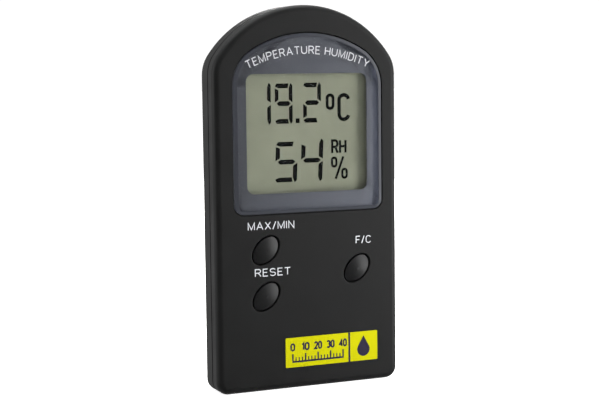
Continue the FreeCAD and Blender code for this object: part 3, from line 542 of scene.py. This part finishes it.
def board_material():
    """Green solder mask with a woven glass grain."""
    s = Shader("board")
    weave = s.noise(0.5, 2.0, 0.5)
    cloud = s.noise(6.0, 3.0)
    base = s.mix(s.ramp(cloud, *CLOUD), (0.008, 0.075, 0.022), (0.012, 0.105, 0.032))
    s.bump(weave, 0.004, 0.05)
    return s.finish(base, s.ramp(cloud, *CLOUD, 0.28, 0.4), coat=0.3)


CELL_BAND_MM = 11.0     # width of the coloured band, then of the bare steel at each end
CELL_NIB_MM = 1.25
CELL_FOOT_MM = 0.35


def cell_material():
    """Dark jacket with one green band at the raised end and bare steel ends."""
    low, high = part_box("battery")
    s = Shader("cell")
    along = s.add("SeparateXYZ")
    s.link(s.position(), along.inputs[0])
    x = along.outputs["X"]
    band = s.maths("GREATER_THAN", x, high.x - CELL_BAND_MM * MM)
    bare = s.maths("GREATER_THAN", x, high.x - CELL_NIB_MM * MM)
    foot = s.maths("LESS_THAN", x, low.x + CELL_FOOT_MM * MM)
    jacket = s.mix(band, (0.10, 0.10, 0.11), (0.02, 0.16, 0.09))
    metal = s.maths("MAXIMUM", bare, foot)
    base = s.mix(metal, jacket, (0.62, 0.62, 0.6))
    scuff = s.noise(1.4, 4.0, 0.6, (1, 6, 6))
    s.bump(scuff, 0.003, 0.1)
    return s.finish(base, s.ramp(scuff, *CLOUD, 0.2, 0.36), metal=metal, coat=0.2)


MAT["board"] = board_material()
MAT["cell"] = cell_material()

NODE_FINISH = {
    "front_cover": "front_plastic", "rear_cover": "rear_plastic", "battery_door": "rear_plastic",
    "stand": "rear_plastic", "display_lens": "lens_clear", "lens_mask": "mask_print",
    "lens_tape": "tape", "front_label": "label", "lcd_holder": "holder", "zebra_strip": "zebra",
    "circuit_board": "board", "chip_blob": "epoxy", "crystal": "plated",
    "humidity_sensor": "sensor", "thermistor": "bead", "keypad_mat": "silicone",
    "battery": "cell", "contact_positive": "spring_steel", "contact_negative": "spring_steel",
    "lead_red": "red_lead", "lead_black": "black_lead", "lcd_polarizer": "polariser",
    "lcd_glass_front": "glass", "lcd_glass_rear": "glass", "lcd_reflector": "reflector",
}
PREFIX_FINISH = {"case_screw": "screw", "board_screw": "screw", "capacitor": "ceramic",
                 "resistor": "resistor", "button": "key_plastic", "contact_pill": "carbon"}
FLAT_FACE = 0.985       # a lens face whose normal has more Y than this looks forward or back
LEFT_WALL = -0.6        # a lens wall whose normal has less X than this looks left


def dress_nodes():
    """Gives every CAD piece its material, by its whole name or by how the name starts."""
    for name, node in NODES.items():
        finish = NODE_FINISH.get(name)
        for prefix, choice in PREFIX_FINISH.items():
            if finish is None and name.startswith(prefix):
                finish = choice
        node.data.materials.clear()
        node.data.materials.append(MAT[finish])


def dress_lens():
    """The sloping rim and the side walls of the lens, except those that face left, look milkier than
    its flat front.
    """
    mesh = NODES["display_lens"].data
    mesh.materials.append(MAT["lens_edge"])
    for polygon in mesh.polygons:
        if abs(polygon.normal.y) < FLAT_FACE and polygon.normal.x > LEFT_WALL:
            polygon.material_index = 1


dress_nodes()
dress_lens()


# ------------------------------------------------------------------ display characters

FACE_Y = box_mm("front_label")[1].y
LENS_FRONT_Y = box_mm("display_lens")[0].y
FILM_Y = box_mm("lcd_polarizer")[0].y
DARK_Y = FILM_Y - PRINT         # front of the dark bars on the display's film

BAR = 1.36                      # height of a figure's level bars
UPPER_POST, LOWER_POST = 1.16, 1.36     # width of its upright bars, on each line
BAR_GAP = 0.14
LOWER_LEAN = 0.045
SMALL_STROKE = 0.72             # weight of the small RH and percent signs
LIT_BARS = {"1": "bc", "2": "abged", "4": "fgbc", "5": "afgcd", "9": "abfgcd"}
# sign, left edge, foot, width, height
UPPER_FIGURES = (("1", -15.45, 76.40, 5.45, 11.75), ("9", -8.78, 76.52, 5.5, 11.48),
                 ("2", 0.02, 76.62, 5.65, 11.50))
LOWER_FIGURES = (("5", -9.1, 59.72, 6.9, 11.6), ("4", -1.14, 59.66, 6.95, 12.16))


def segments(width, height, post):
    """Outlines of the seven bars of one figure, each half mirrored about its middle height."""
    middle, waist, shoulder = height / 2, 0.36, 1.12
    inner, roof = width - post, height - BAR
    top = [(0.05, height - 0.62 * BAR), (0.5 * post, height), (inner - BAR_GAP + 0.12, height),
           (inner - BAR_GAP - 0.16, roof), (post, roof)]
    upper_right = [(inner, roof), (inner + 0.42 * post, height), (inner + 0.62 * post, height),
                   (width, height - 0.45 * BAR), (width, middle + waist + 0.15),
                   (width - 0.12, middle + waist), (inner, middle + shoulder)]
    upper_left = [(0, height - 1.02 * BAR), (0, middle + waist + 0.15), (0.12, middle + waist),
                  (post, middle + shoulder), (post, height - 1.4 * BAR)]
    centre = [(0.5 * post, middle), (post + 0.1, middle + BAR / 2), (inner - 0.1, middle + BAR / 2),
              (width - 0.5 * post, middle), (inner - 0.1, middle - BAR / 2),
              (post + 0.1, middle - BAR / 2)]

    def mirrored(outline):
        return [(x, height - z) for x, z in outline]

    return {"a": top, "b": upper_right, "c": mirrored(upper_right), "d": mirrored(top),
            "e": mirrored(upper_left), "f": upper_left, "g": centre}


def figure(sign, left, foot, width, height, post, lean=0.0):
    shapes = segments(width, height, post)
    return [prism([(left + x + z * lean, foot + z) for x, z in shapes[key]], DARK_Y, PRINT)
            for key in LIT_BARS[sign]]


def dark_line(path, weight, closed=False):
    return ribbon(path, weight, DARK_Y, PRINT, closed)


def display_characters():
    """Readings on the display: 19.2 degrees C over 54 % RH."""
    upper = [bar for sign in UPPER_FIGURES for bar in figure(*sign, UPPER_POST)]
    point = [(-2.36, 76.6), (-1.12, 76.6), (-1.12, 77.95), (-2.36, 77.95)]
    upper.append(prism(point, DARK_Y, PRINT))
    place("lcd_temperature", *gather(upper), MAT["segment"])
    lower = [bar for sign in LOWER_FIGURES for bar in figure(*sign, LOWER_POST, LOWER_LEAN)]
    place("lcd_humidity", *gather(lower), MAT["segment"])
    ring = capsule_path(7.62, 9.52, 80.62, 84.45, 0.9)
    hook = arc_path(12.95, 82.9, 1.52, 1.52, 12, 180, 14)
    hook += arc_path(12.95, 78.85, 1.52, 1.52, 180, 348, 14)
    units = [dark_line(ring, 0.93, True), dark_line(hook, 1.1)]
    place("lcd_celsius", *gather(units), MAT["segment"])
    humidity = straight_text("RH", 8.75, 13.75, 67.25, 71.6, SMALL_STROKE, FILM_Y)
    place("lcd_rh", *humidity, MAT["segment"])
    rings = (capsule_path(9.0, 10.4, 63.7, 66.2, 0.68), capsule_path(12.3, 13.7, 60.3, 62.8, 0.68))
    percent = [dark_line(path, SMALL_STROKE, True) for path in rings]
    percent.append(dark_line([(10.15, 60.05), (12.65, 66.5)], SMALL_STROKE))
    place("lcd_percent", *gather(percent), MAT["segment"])


display_characters()


# ------------------------------------------------------------------ keypad

KEY_NAMES = ("max_min", "reset", "unit")
SHEET_THICK = 0.5       # rubber sheet
SHEET_CORNER = 2.0      # its corner radius
DOME_FOOT = 2.9         # radius inside a dome where it meets the sheet
DOME_CROWN = 0.6        # rubber ahead of the carbon pill


def ring_spots(x, z, radius):
    turns = [2 * math.pi * i / ROUND_STEPS for i in range(ROUND_STEPS)]
    return [(x + radius * math.cos(turn), z + radius * math.sin(turn)) for turn in turns]


def turned(x, z, profile):
    """Closed (radius, Y) loop turned about a line along Y."""
    verts = [(px, y, pz) for radius, y in profile for px, pz in ring_spots(x, z, radius)]
    faces = []
    for row in range(len(profile)):
        here, after = row * ROUND_STEPS, (row + 1) % len(profile) * ROUND_STEPS
        for i in range(ROUND_STEPS):
            j = (i + 1) % ROUND_STEPS
            faces.append((here + i, here + j, after + j, after + i))
    return verts, faces


def pierced_plate(name, outline, holes, front, back, material):
    """Flat plate between two Y levels with holes through it."""
    plate = bmesh.new()
    for loop in [outline] + holes:
        spots = [plate.verts.new(Vector((x, front, z)) * MM) for x, z in loop]
        for a, b in zip(spots, spots[1:] + spots[:1]):
            plate.edges.new((a, b))
    bmesh.ops.triangle_fill(plate, edges=plate.edges, use_beauty=True)
    grown = bmesh.ops.extrude_face_region(plate, geom=plate.faces)
    moved = [item for item in grown["geom"] if isinstance(item, bmesh.types.BMVert)]
    bmesh.ops.translate(plate, verts=moved, vec=Vector((0, back - front, 0)) * MM)
    bmesh.ops.recalc_face_normals(plate, faces=plate.faces)
    mesh = bpy.data.meshes.new(name)
    plate.to_mesh(mesh)
    plate.free()
    piece = add_object(name, mesh)
    mesh.materials.append(material)
    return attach(piece, "case")


def keypad():
    """Rubber sheet that stays put, and one dome per key, in place of the CAD keypad mat."""
    low, high = box_mm("keypad_mat")
    skin, tip = high.y - SHEET_THICK, low.y
    holes = []
    for name in KEY_NAMES:
        pill_low, pill_high = box_mm("contact_pill_" + name)
        x, z = (pill_low.x + pill_high.x) / 2, (pill_low.z + pill_high.z) / 2
        ceiling = pill_low.y
        waist = ceiling - DOME_CROWN
        # radius and Y: from the key's end down the outside, then back up the inside
        profile = [(0.02, tip), (2.2, tip), (2.4, tip + 0.2), (2.4, waist - 0.35), (2.65, waist),
                   (3.1, waist + 0.25), (3.6, skin - 0.35), (3.75, skin), (DOME_FOOT, skin),
                   (2.75, ceiling + 0.25), (2.45, ceiling), (0.02, ceiling)]
        dome = place("keypad_dome_" + name, *turned(x, z, profile), MAT["silicone"], body=None,
                     smooth=True)
        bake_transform(dome)
        holes.append(ring_spots(x, z, DOME_FOOT))
    outline = capsule_path(low.x, high.x, low.z, high.z, SHEET_CORNER)
    sheet = pierced_plate("keypad_sheet", outline, holes, skin, high.y, MAT["silicone"])
    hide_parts("keypad_mat")


keypad()


# ------------------------------------------------------------------ printed legends and label

LEGEND_STROKE = 0.25
# piece, wording, left, right, foot, top
LEGENDS = (("legend_max_min", "MAX/MIN", -18.9, -4.6, 46.72, 49.0),
           ("legend_reset", "RESET", -16.95, -5.9, 33.36, 35.6),
           ("legend_unit", "F/C", 14.87, 19.82, 41.06, 43.32))
ARCH_CENTRE = (0.25, 52.2)
ARCH_RADIUS = 44.05     # to the foot of the letters
ARCH_HALF_ANGLE = 25.0
ARCH_CAP = 2.35         # height of the letters
ARCH_STROKE = 0.26


def legends():
    """Generic wording by the keys and along the arch of the lens."""
    for name, text, *box in LEGENDS:
        place(name, *straight_text(text, *box, LEGEND_STROKE, FACE_Y), MAT["legend"])
    arch = arched_text("TEMPERATURE HUMIDITY", ARCH_CENTRE, ARCH_RADIUS, ARCH_HALF_ANGLE, ARCH_CAP,
                       ARCH_STROKE, LENS_FRONT_Y)
    place("legend_arch", *arch, MAT["arch_legend"])


SCALE_TICKS = 16        # spans of the label's scale, and how many of them each number covers
TICKS_PER_NUMBER = 4
TICK_PITCH = 1.0
NUMBER_STEP = 10
RULE_THICK = 0.55       # line along the foot of the scale
LONG_TICK, SHORT_TICK = (2.6, 0.23), (1.6, 0.17)    # height from the foot, half width
NUMBER_FOOT, NUMBER_TOP, NUMBER_STROKE = 3.35, 5.75, 0.5


def label_print():
    """Plain scale with numbered ticks on the left, a water drop on the right, a divider between."""
    low, high = box_mm("front_label")
    left, bottom, top, front = low.x, low.z, high.z, low.y

    def block(x0, x1, z0, z1):
        return prism([(x0, z0), (x1, z0), (x1, z1), (x0, z1)], front - PRINT, PRINT)

    divide = left + 20.25
    start, foot = left + 2.2, bottom + 1.3
    end = start + SCALE_TICKS * TICK_PITCH
    parts = [block(divide - 0.3, divide + 0.3, bottom, top),
             block(start - 0.2, end + 0.2, foot, foot + RULE_THICK)]
    for step in range(SCALE_TICKS + 1):
        x = start + step * TICK_PITCH
        tall, half = SHORT_TICK if step % TICKS_PER_NUMBER else LONG_TICK
        parts.append(block(x - half, x + half, foot + RULE_THICK, foot + tall))
    for number in range(SCALE_TICKS // TICKS_PER_NUMBER + 1):
        x = start + number * TICKS_PER_NUMBER * TICK_PITCH
        half = 1.3 if number else 0.75
        parts.append(straight_text(str(number * NUMBER_STEP), x - half, x + half, foot + NUMBER_FOOT,
                                   foot + NUMBER_TOP, NUMBER_STROKE, front))
    middle, base, radius = divide + 4.6, foot, 2.05
    drop = arc_path(middle, base + radius, radius, radius, 150, 390, 24)
    drop.append((middle, base + 6.2))
    parts.append(prism(drop, front - PRINT, PRINT))
    place("label_print", *gather(parts), MAT["label_ink"])


ARROW_DROP = 2.9        # tip of the door's arrow below the top of the door
ARROW_TALL, ARROW_HALF = 1.8, 1.5
ARROW_ROOT, ARROW_THICK = 0.05, 0.3     # how deep it is rooted, and its whole thickness


def door_arrow():
    """Small raised triangle above the door's grip ribs, pointing the way it slides off."""
    high = box_mm("battery_door")[1]
    tip = high.z - ARROW_DROP
    outline = [(-ARROW_HALF, tip + ARROW_TALL), (0, tip), (ARROW_HALF, tip + ARROW_TALL)]
    arrow = place("door_arrow", *prism(outline, high.y - ARROW_ROOT, ARROW_THICK),
                  MAT["rear_plastic"], "battery_door")


legends()
label_print()
door_arrow()


# ------------------------------------------------------------------ studio

FLOOR_DROP = 0.1        # gap under the case in mm, so that its base can be seen from below
FLOOR_REACH = 6.0       # metres
FLOOR_GLOW, FLOOR_GLOW_SEEN = 0.45, 0.8     # lit on its own, then as the camera sees it
WORLD_FRONT, WORLD_BACK = 0.05, 0.80    # light from ahead of the object and from behind it
WORLD_FADE = (-0.55, 0.45)              # span of the change between them
WORLD_SEEN = 1.05                       # the surround as the camera sees it
WHITE = (1, 1, 1, 1)


def studio_floor():
    """White paper, clear from below."""
    level, reach = CAD_BOX[0].z - FLOOR_DROP * MM, FLOOR_REACH
    mesh = bpy.data.meshes.new("floor")
    mesh.from_pydata([(-reach, -reach, level), (reach, -reach, level), (reach, reach, level),
                      (-reach, reach, level)], [], [(0, 1, 2, 3)])
    floor = add_object("floor", mesh)
    s = Shader("floor_paper")
    shade = s.ramp(s.noise(60.0, 2.0), *CLOUD, 0.86, 0.9)
    tone = s.add("CombineColor")
    for socket in tone.inputs[:3]:
        s.link(shade, socket)
    s.bsdf.inputs["Emission Color"].default_value = WHITE
    seen = s.add("LightPath").outputs["Is Camera Ray"]
    s.link(s.ramp(seen, 0, 1, FLOOR_GLOW, FLOOR_GLOW_SEEN), s.bsdf.inputs["Emission Strength"])
    s.finish(tone.outputs[0], 0.9, specular=0.0)
    below = s.add("NewGeometry").outputs["Backfacing"]
    clear = s.add("BsdfTransparent").outputs[0]
    mesh.materials.append(s.surface(s.layers(below, s.bsdf.outputs[0], clear)))
    floor.visible_glossy = False


def studio_world():
    """Soft surround that is dark ahead of the object and bright behind it."""
    world = bpy.data.worlds.new("studio")
    bpy.context.scene.world = world
    world.use_nodes = True
    tree = world.node_tree
    coords = tree.nodes.new("ShaderNodeTexCoord")
    split = tree.nodes.new("ShaderNodeSeparateXYZ")
    fade = tree.nodes.new("ShaderNodeMapRange")
    fade.interpolation_type = "SMOOTHSTEP"
    for socket, value in zip(("From Min", "From Max", "To Min", "To Max"),
                             (*WORLD_FADE, WORLD_FRONT, WORLD_BACK)):
        fade.inputs[socket].default_value = value
    tree.links.new(coords.outputs["Generated"], split.inputs[0])
    tree.links.new(split.outputs["Y"], fade.inputs["Value"])
    seen = tree.nodes.new("ShaderNodeLightPath")
    strength = tree.nodes.new("ShaderNodeMix")
    strength.inputs["B"].default_value = WORLD_SEEN
    tree.links.new(seen.outputs["Is Camera Ray"], strength.inputs["Factor"])
    tree.links.new(fade.outputs["Result"], strength.inputs["A"])
    background = tree.nodes["Background"]
    tree.links.new(strength.outputs["Result"], background.inputs["Strength"])
    background.inputs["Color"].default_value = WHITE


def softbox(name, where, target, wide, tall, watts, glints=True):
    """Rectangular lamp; glints says whether it is seen in reflections."""
    lamp = bpy.data.lights.new(name, "AREA")
    lamp.shape = "RECTANGLE"
    lamp.size = wide
    lamp.size_y = tall
    lamp.energy = watts
    holder = add_object(name, lamp)
    holder.location = where
    holder.rotation_euler = (Vector(target) - Vector(where)).to_track_quat("-Z", "Y").to_euler()
    holder.visible_glossy = glints


# name, place, aim, width, height (metres), watts, seen in reflections or not
LAMPS = (
    ("key_right", (0.29, -0.23, 0.09), (0, 0, 0.055), 0.22, 0.34, 1.33),
    ("near_right", (0.13, -0.14, 0.065), (0, 0, 0.06), 0.06, 0.09, 0.22, False),
    ("low_right", (0.13, -0.09, 0.025), (0.01, 0, 0.02), 0.04, 0.04, 0.01),
    ("fill_right", (0.55, -0.60, 0.30), (0, 0, 0.055), 0.5, 0.5, 5.0, False),
    ("glint", (0.42, -0.34, 0.38), (0, 0, 0.045), 0.16, 0.16, 0.35),
    ("fill_front", (-0.20, -0.70, 0.35), (0, 0, 0.055), 0.4, 0.4, 2.2, False),
    ("behind", (0.42, 0.62, 0.16), (0, 0, 0.055), 0.6, 0.3, 7.0),
    ("top", (0.0, 0.15, 0.85), (0, 0, 0.05), 0.9, 0.7, 8.0),
    ("fill_left", (-0.75, 0.15, 0.25), (0, 0, 0.06), 0.4, 0.6, 3.0),
)

studio_floor()
studio_world()
for settings in LAMPS:
    softbox(*settings)


# ------------------------------------------------------------------ camera

AZIMUTH, ELEVATION, ROLL = math.radians(-23.50), math.radians(5.27), math.radians(-0.67)
AIM_X, AIM_Z = -2.73, 54.70     # point of the face that the camera looks at, in mm
DISTANCE = 0.3988               # metres
LENS_MM, SENSOR_MM = 83.55, 36.0


def camera():
    """Camera ahead and to the left of the object, a little above it."""
    level = math.cos(ELEVATION)
    back = Vector((math.sin(AZIMUTH) * level, -math.cos(AZIMUTH) * level, math.sin(ELEVATION)))
    right = Vector((0, 0, 1)).cross(back).normalized()
    up = back.cross(right)
    cam_right = right * math.cos(ROLL) + up * math.sin(ROLL)
    cam_up = up * math.cos(ROLL) - right * math.sin(ROLL)
    target = Vector((AIM_X * MM, FACE_Y * MM, AIM_Z * MM))
    data = bpy.data.cameras.new("camera")
    data.lens = LENS_MM
    data.sensor_width = SENSOR_MM
    data.clip_start = 0.01
    holder = add_object("camera", data)
    turn = Matrix((cam_right, cam_up, back)).transposed().to_4x4()
    holder.matrix_world = Matrix.Translation(target + back * DISTANCE) @ turn
    bpy.context.scene.camera = holder


camera()
bpy.context.scene.view_settings.view_transform = "Standard"
